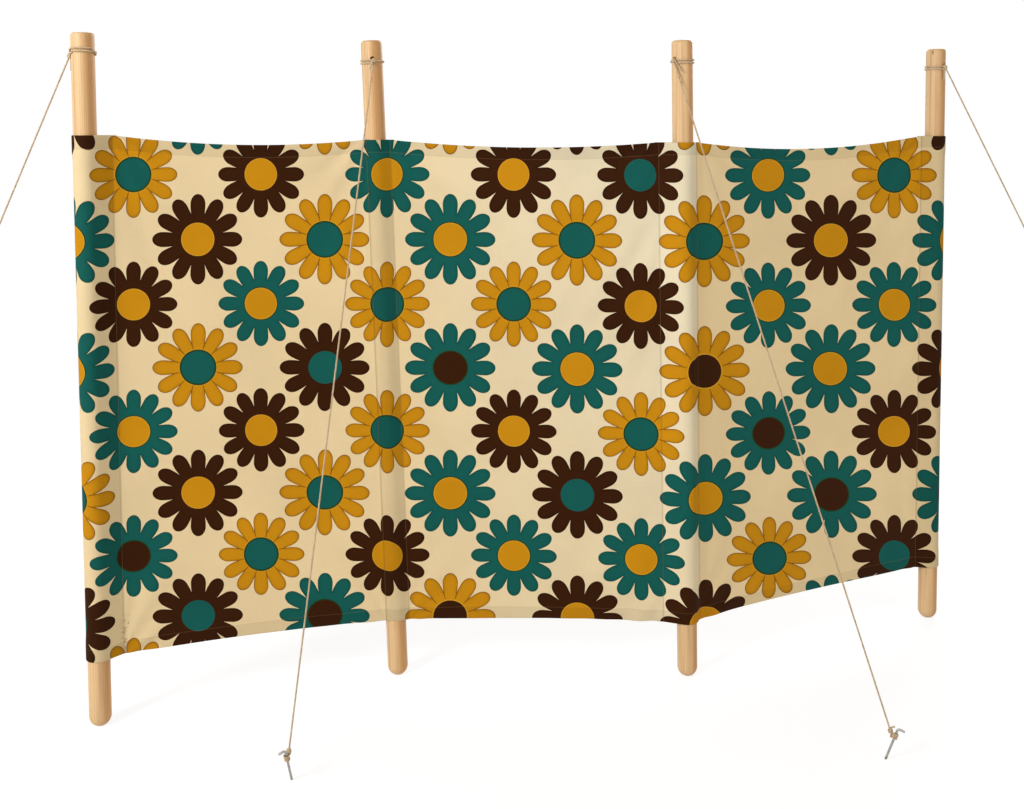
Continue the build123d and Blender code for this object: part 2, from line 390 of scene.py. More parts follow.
def apply_modifier(piece, kind, **settings):
    """Add a modifier, set it and apply it at once."""
    take_up(piece)
    added = piece.modifiers.new(kind.title(), kind)
    for name, value in settings.items():
        setattr(added, name, value)
    bpy.ops.object.modifier_apply(modifier=added.name)


def smooth(piece, angle):
    """Shade smooth, but keep edges sharper than this angle."""
    take_up(piece)
    bpy.ops.object.shade_smooth_by_angle(angle=math.radians(angle))


def place_for_good(piece, matrix):
    """Move the mesh itself, so the object stays at the origin."""
    piece.data.transform(matrix)
    piece.data.update()


def dress(piece, material, slot, *nodes):
    """Give a piece its finish, hang it on the root, and hide the measured nodes that it stands for.
    """
    piece.data.materials.clear()
    piece.data.materials.append(material)
    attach(piece, "root")
    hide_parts(*nodes)


# %% Outline of a pole
def round_corner(centre, radius, first, last, steps):
    """Points of an arc in the XZ plane, its angles in degrees from +X."""
    angles = np.radians(np.linspace(first, last, steps))
    return [(centre[0] + radius * math.cos(a), 0, centre[1] + radius * math.sin(a)) for a in angles]


foot_angle = -math.degrees(math.asin(foot_centre / pole_radius))
pole_outline = [(0, 0, 0)]
pole_outline += round_corner((0, foot_centre), pole_radius, foot_angle, 0, 9)
pole_outline += [(pole_radius, 0, pole_length * share) for share in (0.25, 0.5, 0.75, 0.93)]
shoulder = (pole_radius - pole_top_round, pole_length - pole_top_round)
pole_outline += round_corner(shoulder, pole_top_round, 0, 90, 7)
pole_outline += [(0, 0, pole_length)]
drill_reach = 26 * mm
cutter_outline = [(0, 0, -drill_reach), (hole_radius * 1.5, 0, -drill_reach)]
cutter_outline += [(hole_radius * 1.22, 0, -pole_radius), (hole_radius, 0, -pole_radius * 0.9)]
cutter_outline += [(x, 0, -z) for x, y, z in reversed(cutter_outline)]
print("a pole is drawn with", len(pole_outline), "points, its drill with", len(cutter_outline))


# %% Spin and drill the poles
def record_grain(piece, number):
    """Keep each point's place in the tree, for the wood's pattern."""
    grain = piece.data.attributes.new("grain", "FLOAT_VECTOR", "POINT")
    places = [in_tree(number, vertex.co) for vertex in piece.data.vertices]
    grain.data.foreach_set("vector", [value for place in places for value in place])


for number in feet:
    pole = spin_round(draw_outline(f"turned_pole_{number}", pole_outline), 64)
    cutter = spin_round(draw_outline("drill", cutter_outline), 24)
    entry = Matrix.Translation((pole_radius, 0, 0))
    slant = entry @ turn_by(hole_slant[number]) @ entry.inverted() @ turn_by(90, "Y")
    at_hole = Matrix.Translation(up_by(hole_height)) @ turn_by(hole_heading[number])
    place_for_good(cutter, at_hole @ slant)
    apply_modifier(pole, "BOOLEAN", object=cutter, operation="DIFFERENCE", solver="EXACT")
    bpy.data.objects.remove(cutter)
    record_grain(pole, number)
    place_for_good(pole, pole_place(number))
    smooth(pole, 35)
    dress(pole, wood_finish, "pole_wood", f"pole_{number}")
    print(pole.name, len(pole.data.polygons), "faces")

# %% [markdown]
# ## Print and canvas
# The canvas is printed with a daisy repeat in four colours: round flowers on a diagonal
# grid, each with twelve petals and a plain disc. The cloth carries the coordinates of
# the print, so it runs on round the poles and over the hems, as on the real bolt. One
# map holds true metres along and up the cloth, for the weave and the stitches, and one
# is for the print, whose flowers sit a little closer or wider in each bay.

# %% The flower grid
flower_pitch = 237 * mm
flower_rise = 241 * mm
flower_reach = 80 * mm
petal_widest = 62 * mm
petal_half = 13.3 * mm
petal_root = 22 * mm
disc_radius = 29.6 * mm
petals = 12


def flower_place(along, up):
    """Nearest flower: its grid number, and the place of this point from its middle."""
    found = []
    for shift in (0.0, 0.5):
        column = round(along / flower_pitch + shift) - shift
        row = round(up / flower_rise + shift) - shift
        found.append((column, row, along - column * flower_pitch, up - row * flower_rise))
    apart = [x * x + y * y for *_, x, y in found]
    nearer = apart[1] < apart[0]
    return *(first + (second - first) * nearer for first, second in zip(*found)), nearer


def petal_form(x, y, scale):
    """How far inside a petal's edge a point lies, its radius, and the way to the next."""
    radius = (x * x + y * y) ** 0.5 / scale
    step = math.tau / petals
    angle = maths("ARCTAN2", y, x) / step
    angle = abs(angle - round(angle)) * step
    out, across = radius * maths("COSINE", angle), radius * maths("SINE", angle)
    inner = petal_widest - petal_root
    length = inner + (flower_reach - petal_widest - inner) * (out > petal_widest)
    share = (out - petal_widest) / length
    egg = (across / petal_half) ** 2 + share * share
    return (1 - egg ** 0.5) * petal_half, radius, (step / 2 - angle) * radius


def colour_order(column, row, by_column, by_row, sway, wave_x, wave_y, start):
    """Number from 0 to 1 for each flower, spread so that like colours lie apart."""
    wave = maths("SINE", column * wave_x + row * wave_y)
    return maths("FRACT", column * by_column + row * by_row + wave * sway + start)


def either(first, second):
    """1 where at least one of two masks is 1."""
    return 1 - (1 - first) * (1 - second)


print("a flower has", petals, "petals and is", round(2 * flower_reach, 3), "m across")

# %% [markdown]
# Each flower has one of three petal colours. Mustard petals have a drawn outline and a
# crease between them, and every disc has a thin rim. Discs are mustard on teal and brown
# petals and teal on mustard ones, but for some darker flowers.

# %% Colours of the print
heart_radius = 42 * mm
outline_width = 1.2 * mm
crease_half = 0.7 * mm


def print_colour(canvas, cream):
    """Colour of the printed flowers on their cream ground."""
    printed = canvas.node("UVMap", {"uv_map": "print"})
    found = flower_place(canvas.part(printed, 0), canvas.part(printed, 1))
    column, row, x, y, nearer = found
    inside, radius, to_next = petal_form(x, y, 1 + nearer * 0.055)
    pick = colour_order(column, row, 0.91, 1.64, 0.30, 2.3, 1.1, 0.07)
    second = colour_order(column, row, 1.62, 1.07, -0.39, 4.6, 3.0, 0.40)
    is_yellow = (pick > 0.37) * (pick < 0.63)
    is_brown = pick > 0.63
    is_dark = second > 0.76

    def by_petal(on_teal, on_mustard, on_brown):
        """Whichever of three colours belongs to this flower's petals."""
        return canvas.blend(is_brown, canvas.blend(is_yellow, on_teal, on_mustard), on_brown)

    teal, mustard, brown = paint(17, 87, 80), paint(195, 134, 14), paint(53, 24, 3)
    gold = paint(210, 156, 50)
    edge = by_petal(paint(8, 54, 44), paint(124, 76, 8), paint(34, 12, 4))
    plain_disc = canvas.blend(is_yellow, mustard, teal)
    dark_disc = canvas.blend(is_brown, brown, teal)

    flower = either(inside > 0, radius < heart_radius)
    line = (inside > 0) * (inside < outline_width) * (radius > 38 * mm) * is_yellow
    crease = (to_next < crease_half) * (radius < 48 * mm) * (radius > 33 * mm) * is_yellow
    deeper = (1 - inside.rise(0.0, 6 * mm)) * (radius > 44 * mm) * 0.36
    colour = canvas.blend(flower, cream, by_petal(teal, mustard, brown))
    colour = canvas.blend(deeper * flower, colour, edge)
    colour = canvas.blend(either(line, crease) * flower * 0.9, colour, edge)

    teal_disc = is_yellow * (1 - is_dark)
    halo = (radius < disc_radius + 4.4 * mm) * teal_disc
    rim = canvas.blend(is_yellow * is_dark, paint(30, 62, 30), paint(206, 150, 40))
    rim_width = 2.0 * mm + teal_disc * (1.1 * mm)
    colour = canvas.blend(halo * 0.5, colour, gold)
    colour = canvas.blend((radius < rim_width + disc_radius) * (1 - is_brown), colour, rim)
    disc = canvas.blend(is_dark, plain_disc, dark_disc)
    colour = canvas.blend(radius < disc_radius, colour, disc)
    mustard_disc = (1 - is_yellow) * (1 - is_dark)
    pale_ring = (radius < disc_radius) * (radius > disc_radius - 1.3 * mm) * mustard_disc
    return canvas.blend(pale_ring * 0.7, colour, gold)


# %% Printed canvas
hem_seam = 22 * mm
thread_half = 0.55 * mm
stitch_length = 4.2 * mm
weave_pitch = 1.1 * mm


def make_canvas(seams):
    canvas = Finish("printed canvas")
    cloth = canvas.node("UVMap", {"uv_map": "cloth"})
    along, up = canvas.part(cloth, 0), canvas.part(cloth, 1)
    # Painted light: the cream ground is paled where the mesh carries the painted wash.
    cream = canvas.blend(canvas.carried("painted_light"), paint(226, 201, 155), paint(226, 213, 182))
    colour = print_colour(canvas, cream)

    fade = canvas.scatter(cloth, 0.16, 3.0)
    slub = sum(canvas.scatter(cloth, 0.004, 2.0, way) for way in ((1, 0.12, 1), (0.12, 1, 1)))
    # Painted shade: the turned hems are darkened, and every point is darkened by the painted shade
    # that the mesh carries.
    turned = 1 - (up > hem_seam) * (up < cloth_height - hem_seam)
    light = 0.86 + fade * 0.20 + slub * 0.04 - canvas.carried("painted_shading") - turned * 0.11
    colour = canvas.shade(colour, light)

    sewn = sum(abs(along - seam) < thread_half for seam in seams)
    # Painted shade in a narrow band along each seam.
    painted_seam_shade = sum(1 - abs(along - seam).rise(0.4 * mm, 3.0 * mm) for seam in seams)
    colour = canvas.shade(colour, 1 - painted_seam_shade * 0.16)
    dash_up, dash_on = (maths("FRACT", way / stitch_length) < 0.74 for way in (up, along))
    at_hem = sum(abs(up - line) < thread_half for line in (hem_seam, cloth_height - hem_seam))
    thread = sewn * dash_up + at_hem * dash_on * 0.7
    colour = canvas.blend(thread * 0.30, colour, paint(150, 116, 78))
    soil = (1 - abs(along - seams[0]).rise(1 * mm, 9 * mm)) * (1 - up.rise(38 * mm, 80 * mm))
    soil = soil * canvas.scatter(cloth, 0.007, 3.0).rise(0.46, 0.60)
    colour = canvas.blend(soil * 0.55, colour, paint(150, 112, 72))

    weave_on, weave_up = (maths("SINE", way * (math.tau / weave_pitch)) for way in (along, up))
    height = weave_on * weave_up * 0.25 + slub * 0.7 + thread * 1.5
    return canvas.finish(
        Base_Color=colour,
        Roughness=0.60 + slub * 0.08,
        Specular_IOR_Level=0.06,
        Sheen_Weight=0.01,
        Sheen_Roughness=0.4,
        Normal=canvas.raise_surface(height, 0.00012, 0.6),
    )


# %% [markdown]
# ## Cloth
# The screen is one long strip of canvas. It starts behind the first pole, wraps round
# it, crosses each bay, rides over the front of the two inner poles and ends wrapped
# behind the last one. Strips sewn behind the inner poles close their sleeves. A flat
# sheet of cloth has a length and a height, so the mesh is a grid: each row is a path
# seen from above, and the rows are stacked up the poles, folded over at the hems.

# %% Layers of the cloth
cloth_thick = 1.0 * mm
layer_gap = 1.25 * mm
sleeve_radius = 20.05 * mm
lap_width = 8 * mm
front, behind = -1, 1


def hem_share(level):
    """1 on the hems, fading smoothly to 0 above and below them."""
    edge = min(level, cloth_height - level)
    share = min(max((edge - hem_depth) / (hem_depth * 0.9), 0.0), 1.0)
    return 1 - share * share * (3 - 2 * share)


def axis_point(number, level):
    """Point on a pole's axis, this far above the lower edge of its sleeve."""
    return np.array(pole_place(number) @ up_by(cloth_bare + pocket_slip[number] + level))


# %% Paths seen from above
def straight(start, end, count):
    share = np.linspace(0, 1, count, endpoint=False)[:, None]
    return start + (end - start) * share


def bend(centre, radius, first, last, count):
    turn = np.radians(np.linspace(first, last, count, endpoint=False))
    return centre + radius * np.stack([np.cos(turn), np.sin(turn)], axis=1)


def on_ring(centre, radius, heading):
    return bend(centre, radius, heading, heading, 1)[0]


class Seam:
    """Where a sleeve's layers meet beside a pole, as seen from the pole's axis."""

    def __init__(self, pole, side, aside):
        self.bay = pole if side == "right" else pole - 1
        self.reach = math.hypot(aside, seam_forward[pole])
        swing = math.degrees(math.atan2(seam_forward[pole], aside))
        self.turn = -swing if side == "right" else 180 + swing
        self.steps = round(math.sqrt(self.reach**2 - sleeve_radius**2) / mm)


seams = {
    (pole, side): Seam(pole, side, aside)
    for side, at_pole in (("left", seam_left), ("right", seam_right))
    for pole, aside in at_pole.items()
}


class Row:
    """One level of the cloth: pole centres and how the bays run between them."""

    def __init__(self, level):
        hem = hem_share(level)
        self.points = {number: axis_point(number, level) for number in feet}
        self.centre = {number: point[:2] for number, point in self.points.items()}
        self.radius = sleeve_radius + 1.0 * mm * hem
        self.lap_gap = layer_gap * (1 + 2 * hem)
        self.heading, self.way, self.back = {}, {}, {}
        for bay in bay_pitch:
            run = self.centre[bay + 1] - self.centre[bay]
            self.heading[bay] = math.degrees(math.atan2(run[1], run[0]))
            run = self.seam(bay + 1, "left") - self.seam(bay, "right")
            self.way[bay] = run / np.linalg.norm(run)
            self.back[bay] = np.array([-self.way[bay][1], self.way[bay][0]])

    def toward(self, pole, side):
        """Heading from the pole's axis to its seam."""
        seam = seams[pole, side]
        return self.heading[seam.bay] + seam.turn

    def seam(self, pole, side, face=front):
        """Place of a seam: its front layer, or the layer that laps on behind it."""
        place = on_ring(self.centre[pole], seams[pole, side].reach, self.toward(pole, side))
        return place if face == front else place + self.back[seams[pole, side].bay] * self.lap_gap

    def leaves(self, pole, side, face):
        """Heading at which the front or back layer leaves the round of the pole."""
        swing = math.degrees(math.acos(self.radius / seams[pole, side].reach)) * face
        return self.toward(pole, side) + (swing if side == "right" else -swing)

    def lap(self, pole, side):
        """Where the layer behind meets its seam, and where its lap on the bay ends."""
        meets = self.seam(pole, side, behind)
        along = self.way[seams[pole, side].bay] * lap_width
        return meets, meets + (along if side == "right" else -along)

    def around(self, pole, first, last, turn, count):
        """Runs from one seam to the sleeve, round it and on to the next seam."""
        centre = self.centre[pole]
        leave, join = self.leaves(pole, *first), self.leaves(pole, *last) + turn
        leave_at, join_at = (on_ring(centre, self.radius, heading) for heading in (leave, join))
        before, after = (seams[pole, side].steps for side, face in (first, last))
        return [
            ("side", pole, straight(self.seam(pole, *first), leave_at, before)),
            ("round", pole, bend(centre, self.radius, leave, join, count)),
            ("side", pole, straight(join_at, self.seam(pole, *last), after)),
        ]


def screen_path(level):
    """The whole cloth at one level: its runs, each as points a millimetre apart."""
    row = Row(level)
    meets, ends = row.lap(1, "right")
    runs = [("lap", 1, straight(ends, meets, 8))]
    runs += row.around(1, ("right", behind), ("right", front), 360, 81)
    for bay, pitch in bay_pitch.items():
        start, end = row.seam(bay, "right"), row.seam(bay + 1, "left")
        runs.append(("bay", bay, straight(start, end, round((pitch - 0.07) / mm))))
        if bay + 1 in seam_right:
            count = {2: 5, 3: 14}[bay + 1]
            runs += row.around(bay + 1, ("left", front), ("right", front), 360, count)
    runs += row.around(4, ("left", front), ("left", behind), 360, 78)
    runs.append(("lap", 4, straight(*row.lap(4, "left"), 9)))
    return row, runs


def strip_path(pole, level):
    """The strip behind an inner pole, from its right lap round the back to its left."""
    row = Row(level)
    meets, ends = row.lap(pole, "right")
    runs = [("lap", pole, straight(ends, meets, 8))]
    runs += row.around(pole, ("right", behind), ("left", behind), 0, 42)
    runs.append(("lap", pole, straight(*row.lap(pole, "left"), 9)))
    return row, runs


# %% Which points of a path become columns
def columns_of(runs):
    """Points kept from the closely spaced path: few across a bay, many at a bend."""
    kept, count = [], 0
    for kind, number, points in runs:
        length = len(points)
        if kind == "bay":
            close = list(range(0, 14, 2))
            steps = close + list(range(14, length - 14, 9)) + [length - i for i in close[:0:-1]]
        else:
            steps = list(range(0, length, 3))
        kept += [count + step for step in steps if step < length]
        count += length
    return sorted(set(kept) | {count - 1})


def ease(points, width):
    """Round the corners of a line, its two ends kept where they are."""
    reach = int(width * 3)
    weights = np.exp(-0.5 * (np.arange(-reach, reach + 1) / width) ** 2)
    weights /= weights.sum()
    before, after = 2 * points[0] - points[reach:0:-1], 2 * points[-1] - points[-2:-reach - 2:-1]
    padded = np.concatenate([before, points, after])
    return np.stack([np.convolve(line, weights, "valid") for line in padded.T], axis=1)


def joined(runs):
    """All runs of a path as one line with its corners rounded."""
    return ease(np.concatenate([points for *_, points in runs]), 2.2)


def length_along(points):
    """How far along a line each of its points lies."""
    steps = np.linalg.norm(np.diff(points, axis=0), axis=1)
    return np.concatenate([[0], np.cumsum(steps)])


# %% Levels up the cloth, with the turned hems
def cloth_levels():
    """Heights up the cloth with their layer: 0 is the front, 1 is turned in behind it."""
    bottom = [(25, 1), (22, 1), (17, 1), (10, 1), (4, 1), (0.6, 1), (0.18, 0.86), (0, 0.5)]
    bottom += [(0.18, 0.14)] + [(level, 0) for level in (0.6, 4, 10, 17, 20.5, 22, 23.5)]
    top = [(cloth_height / mm - level, layer) for level, layer in reversed(bottom)]
    middle = [(level, 0) for level in np.linspace(23.5, cloth_height / mm - 23.5, 92)[1:-1]]
    return [(level * mm, layer) for level, layer in bottom + middle + top]


def flat_height(level, layer):
    """Height on the flat cloth: what is turned in lies beyond the fold."""
    if layer <= 0.5:
        return level
    return -level if level < cloth_height / 2 else 2 * cloth_height - level


levels = cloth_levels()
print(len(levels), "levels up the cloth")

# %% [markdown]
# Canvas that is pulled tight between poles is not quite flat. It bellies back a little,
# long shallow waves run from pole to pole, creases pull towards the corners, and the
# seams pucker. Each is a small sum of waves, worked out at every point of the grid.

# %% Relief of the stretched cloth
chance = np.random.default_rng(11)
long_waves = {bay: chance.uniform(-1, 1, (5, 4)) for bay in bay_pitch}
drag_pitch = 85 * mm
drag_depth = {1: 0.6 * mm, 2: 2.4 * mm, 3: 0.6 * mm}


def relief(bay, share, level):
    """How far the cloth of a bay stands back from the straight line, in metres."""
    height = level / cloth_height
    side = np.minimum(share, 1 - share) * bay_pitch[bay]
    free = np.clip(side / 0.07, 0, 1) ** 1.5
    away = 4 * belly * share * (1 - share)
    for k, (a, b, c, d) in enumerate(long_waves[bay]):
        turns = share * (0.6 + 0.5 * a) + height * (2.1 + 0.9 * k + b)
        away = away + (2.0 - 0.2 * k) * mm * c * np.sin(math.tau * turns + 3 * d) * free
    for corner, lift in ((0, 0), (1, 0), (0, 1), (1, 1)):
        right = np.abs(share - corner) * bay_pitch[bay] + 0.02
        rise = abs(height - lift) * cloth_height + 0.02
        angle = np.arctan2(rise, right)
        reach = np.hypot(rise, right)
        crease = np.sin(angle * 15 + bay * 2 + corner * 3 + lift) * np.exp(-reach / 0.16)
        away = away + 2.4 * mm * crease * np.clip(reach / 0.06, 0, 1) * np.clip(side / 0.02, 0, 1)
    to_right = (1 - share) * bay_pitch[bay]
    bent = 1.6 * np.sin(8 * level + 9 * to_right)
    drag = np.sin(math.tau * (to_right + 0.7 * level) / drag_pitch + bent)
    fading = np.exp(-to_right / 0.13) * (0.65 + 0.35 * math.sin(9 * level + bay))
    away = away + drag_depth[bay] * drag * fading * np.clip(side / 0.03, 0, 1)
    pucker = np.sin(level * math.tau / (17 * mm) + 2 * np.sin(level * 31 + bay))
    return away + 0.35 * mm * pucker * np.exp(-side / (12 * mm))


# %% [markdown]
# The sleeves and the turned hems are darkened with painted shade, by a little more or less
# at each pole. Each bay is made a little darker or lighter with painted shade and light,
# and painted light lightens the start of the last bay, where the third sleeve casts its
# shadow. A painted wash of light pales the cream most at the third pole. The painted shade
# and the wash are kept as numbers at every point of the mesh, and the shader darkens the
# turned hems by itself.

# %% The grid of the cloth
# Painted shade for each sleeve and each bay; a value below 0 is painted light.
sleeve_painted_shading = {1: 0.09, 2: 0.20, 3: 0.0, 4: 0.20}
bay_painted_shading = {1: 0.0, 2: 0.045, 3: -0.02}
painted_light_beside_seam = 0.11
# Painted light: a wash that pales the cream, given along the cloth, strongest at the third pole.
painted_light_at = [(0.66, 0.10), (0.90, 0.55), (1.12, 0.75), (1.16, 0.95), (1.225, 0.90)]
painted_light_at += [(1.232, 0.0)]


def painted_shading_along(runs):
    """How much painted shade darkens the cloth at each point of a path; below 0 it is painted
    light.
    """
    painted_shading = []
    for kind, number, points in runs:
        darker = bay_painted_shading if kind == "bay" else sleeve_painted_shading
        painted_shading.append(np.full(len(points), darker[number]))
        # Painted light on the start of the last bay, where the third sleeve casts its shadow.
        if (kind, number) == ("bay", 3):
            painted_shading[-1] -= painted_light_beside_seam * np.clip(1 - np.arange(len(points)) / 60, 0, 1)
    return np.concatenate(painted_shading)


def lay_grid(path_at, columns):
    """Rows of points up the cloth, each point's place on the flat cloth, and its painted shade."""
    along = length_along(joined(path_at(cloth_height / 2)[1]))[columns]
    painted_shading = painted_shading_along(path_at(0)[1])[columns]
    grid, flat = [], []
    for level, layer in levels:
        row, runs = path_at(level)
        lift, away = [], []
        for kind, number, points in runs:
            share = np.linspace(0, 1, len(points))
            low = row.points[number][2]
            if kind == "bay":
                high = row.points[number + 1][2]
                sag = 4 * top_sag[number] * share * (1 - share) * level / cloth_height
                lift.append(low + (high - low) * share - sag)
                away.append(relief(number, share, level))
            else:
                lift.append(np.full(len(points), low))
                away.append(np.zeros(len(points)))
        path = joined(runs)
        ahead = np.gradient(path, axis=0)
        ahead /= np.linalg.norm(ahead, axis=1)[:, None]
        inward = np.stack([-ahead[:, 1], ahead[:, 0]], axis=1)
        path = path + inward * (np.concatenate(away) + layer * layer_gap)[:, None]
        grid.append(np.column_stack([path, np.concatenate(lift)])[columns])
        flat.append(np.column_stack([along, np.full(len(columns), flat_height(level, layer))]))
    return np.array(grid), np.array(flat), np.tile(painted_shading, (len(levels), 1))


def make_sheet(name, grid, flat, painted_shading):
    """Mesh of quads from the grid, with its place on the cloth and on the print as UV maps."""
    rows, columns = grid.shape[:2]
    corner = np.arange(rows * columns).reshape(rows, columns)
    quads = np.stack([corner[:-1, :-1], corner[:-1, 1:], corner[1:, 1:], corner[1:, :-1]], axis=-1)
    mesh = bpy.data.meshes.new(name)
    mesh.from_pydata(grid.reshape(-1, 3).tolist(), [], quads.reshape(-1, 4).tolist())
    order = np.empty(len(mesh.loops), dtype=np.int32)
    mesh.loops.foreach_get("vertex_index", order)
    for title, places in (("cloth", flat), ("print", print_map(flat))):
        mesh.uv_layers.new(name=title).data.foreach_set("uv", places.reshape(-1, 2)[order].ravel())
    # Painted light: the wash grows towards the top of the cloth.
    painted_light = np.interp(flat[..., 0], *zip(*painted_light_at))
    painted_light = painted_light * (0.55 + 0.75 * flat[..., 1] / cloth_height)
    for title, values in (("painted_shading", painted_shading), ("painted_light", painted_light)):
        mesh.attributes.new(title, "FLOAT", "POINT").data.foreach_set("value", values.ravel())
    sheet = add_object(name, mesh)
    apply_modifier(sheet, "SOLIDIFY", thickness=cloth_thick, offset=0)
    smooth(sheet, 60)
    return sheet


# %% Where the seams lie along the cloth
screen_runs = screen_path(cloth_height / 2)[1]
screen_along = length_along(joined(screen_runs))
counts = np.cumsum([0] + [len(points) for *_, points in screen_runs])
run_marks = [float(screen_along[min(count, len(screen_along) - 1)]) for count in counts]
bay_starts = {
    number: (start, end)
    for (kind, number, points), start, end in zip(screen_runs, run_marks, run_marks[1:])
    if kind == "bay"
}
seam_places = [place for ends in bay_starts.values() for place in ends]
print("cloth is", round(run_marks[-1], 3), "m long, seams at", [round(s, 3) for s in seam_places])

# %% [markdown]
# The flowers look the same size in all three bays, though the first pole is nearest to
# the viewer and the last bay turns away. So the print lies closer on the first bay and
# wider on the last, and its rows spread towards the last pole and stay level where the
# top edge sags. Each place along the cloth gets its column from the pitch between two
# marks, which are the ends and the middle of bays 1 and 3, pole 2, the end of bay 2 and
# the place where the third sleeve turns away. It gets its row from the poles beside it.

# %% Where the print lies on the cloth
column_pitch = [235, 217, 231, 237, 241, 549, 308, 322, 254]
row_pitch = [222, 240, 243, 268]
top_row = [842, 845.5, 848.5, 828.5]
column_lean = [22, 39, 3, -12]
rows_to_top = 3
sleeve_turns = 26 * mm
pole_along = [bay_starts[1][0], (bay_starts[1][1] + bay_starts[2][0]) / 2]
pole_along += [bay_starts[3][0] - 30 * mm, bay_starts[3][1]]
column_marks = [0.0, bay_starts[1][0], sum(bay_starts[1]) / 2, pole_along[1], bay_starts[2][1]]
column_marks += [bay_starts[3][0] - sleeve_turns, bay_starts[3][0], sum(bay_starts[3]) / 2]
column_marks += [bay_starts[3][1], run_marks[-1]]
column_steps = np.diff(column_marks) * flower_pitch / (np.array(column_pitch) * mm)
column_places = np.concatenate([[0], np.cumsum(column_steps)])
middle_column = np.interp(sum(bay_starts[2]) / 2 - 31 * mm, column_marks, column_places)


def print_map(flat):
    """Places on the print for places on the flat cloth, from a flower in the middle bay."""
    along, level = flat[..., 0], flat[..., 1]
    pitch, top, lean = (
        np.interp(along, pole_along, at_pole) * mm for at_pole in (row_pitch, top_row, column_lean)
    )
    across = np.interp(along, column_marks, column_places) - middle_column
    across = across - lean * (level / cloth_height - 0.5)
    for bay, (start, end) in bay_starts.items():
        share = np.clip((along - start) / (end - start), 0, 1)
        level = level - 4 * top_sag[bay] * share * (1 - share) * level / cloth_height
    return np.stack([across, flower_rise * (rows_to_top + (level - top) / pitch)], axis=-1)


# %% Sew the screen and the back strips
canvas_finish = make_canvas(seam_places)


def sew(name, path_at, nodes, starts=None):
    """One sheet of the canvas. A strip runs back along the cloth from where it starts."""
    runs = path_at(cloth_height / 2)[1]
    columns = columns_of(runs)
    grid, flat, painted_shading = lay_grid(path_at, columns)
    if starts is not None:
        flat[..., 0] = starts - flat[..., 0]
    sheet = make_sheet(name, grid, flat, painted_shading)
    dress(sheet, canvas_finish, "cloth", *nodes)
    length = float(length_along(joined(runs))[-1])
    print(name, len(columns), "columns,", len(sheet.data.polygons), "faces")


across_bays = [f"{part}_{bay}" for part in ("bay", "top_hem", "bottom_hem") for bay in bay_pitch]
sew("cloth_screen", screen_path, ["pocket_1", "pocket_4", *across_bays])
for pole in (2, 3):
    starts = bay_starts[pole][0] + lap_width
    sew(f"sleeve_strip_{pole}", partial(strip_path, pole), [f"pocket_{pole}"], starts)

# %% [markdown]
# ## Rope
# The guys are thin natural twine, laid from three strands. Each strand is a small round
# tube that winds round the rope's own line, so the twist is real and shows in the light.
# One helper lays the strands along any line of points.

# %% Twine finish
def make_twine():
    twine = Finish("twine")
    place = twine.carried("strand", out=1)
    fibre = twine.scatter(place, 0.0007, 2.0, (0.10, 1, 1))
    patch = twine.scatter(place, 0.02, 2.0, (1, 0.2, 1))
    colour = twine.blend(patch.rise(0.3, 0.7), paint(220, 198, 164), paint(192, 162, 122))
    colour = twine.blend((fibre - 0.5).rise(0.0, 0.2) * 0.45, colour, paint(122, 92, 60))
    return twine.finish(
        Base_Color=colour,
        Roughness=0.78,
        Sheen_Weight=0.1,
        Normal=twine.raise_surface(fibre, 0.0002, 0.8),
    )


# %% Lay a rope along a line of points
twine_finish = make_twine()
strand_radius = 0.86 * mm
strand_offset = 0.78 * mm
twist_length = 9.5 * mm


def even_points(points, step):
    """The same line with its points this far apart, and how far along each lies."""
    points = np.array([tuple(point) for point in points], dtype=float)
    along = length_along(points)
    places = np.linspace(0, along[-1], max(int(along[-1] / step), 3) + 1)
    return np.stack([np.interp(places, along, line) for line in points.T], axis=1), places


def lay_rope(name, line, step, sides=6):
    """Three twisted strands along a line of points, as one mesh."""
    points, places = even_points(line, step)
    ahead = np.gradient(points, axis=0)
    ahead /= np.linalg.norm(ahead, axis=1)[:, None]
    normal = np.array(Vector(ahead[0]).orthogonal())
    frames = []
    for way in ahead:
        normal = normal - way * (normal @ way)
        normal /= np.linalg.norm(normal)
        frames.append((normal, np.cross(way, normal)))
    across, over = np.array(frames).transpose(1, 0, 2)
    angles = math.tau * np.arange(sides) / sides
    verts, faces, marks = [], [], []
    for strand in range(3):
        turn = math.tau * (places / twist_length + strand / 3)[:, None]
        out = across * np.cos(turn) + over * np.sin(turn)
        aside = np.cross(ahead, out)
        ring = out[:, None] * np.cos(angles)[:, None] + aside[:, None] * np.sin(angles)[:, None]
        skin = (points + out * strand_offset)[:, None] + ring * strand_radius
        mark = np.broadcast_arrays(places[:, None] + strand * 0.31, strand_radius * angles, strand)
        verts.append(skin.reshape(-1, 3))
        marks.append(np.stack(mark, axis=-1).ravel())
        here = np.arange(len(points) * sides).reshape(-1, sides) + strand * len(points) * sides
        beside = np.roll(here, -1, axis=1)
        quads = np.stack([here[:-1], beside[:-1], beside[1:], here[1:]], axis=-1)
        faces += quads.reshape(-1, 4).tolist() + [here[0, ::-1].tolist(), here[-1].tolist()]
    mesh = bpy.data.meshes.new(name)
    mesh.from_pydata(np.concatenate(verts).tolist(), [], faces)
    strands = mesh.attributes.new("strand", "FLOAT_VECTOR", "POINT")
    strands.data.foreach_set("vector", np.concatenate(marks))
    rope = add_object(name, mesh)
    smooth(rope, 80)
    return rope


# %% [markdown]
# ## Guys, hitches and eyes
# Each guy starts at its pole's top. The rope goes through the drilled hole, bends back
# round the pole, takes a full turn more, and is wound three times round its own standing
# part, with a short tail left over. At the ground it takes nearly three turns round the
# wire of the peg and is wound on itself again, close above them. The directions are
# worked out first, because the turns have to lie on the leaning wire.

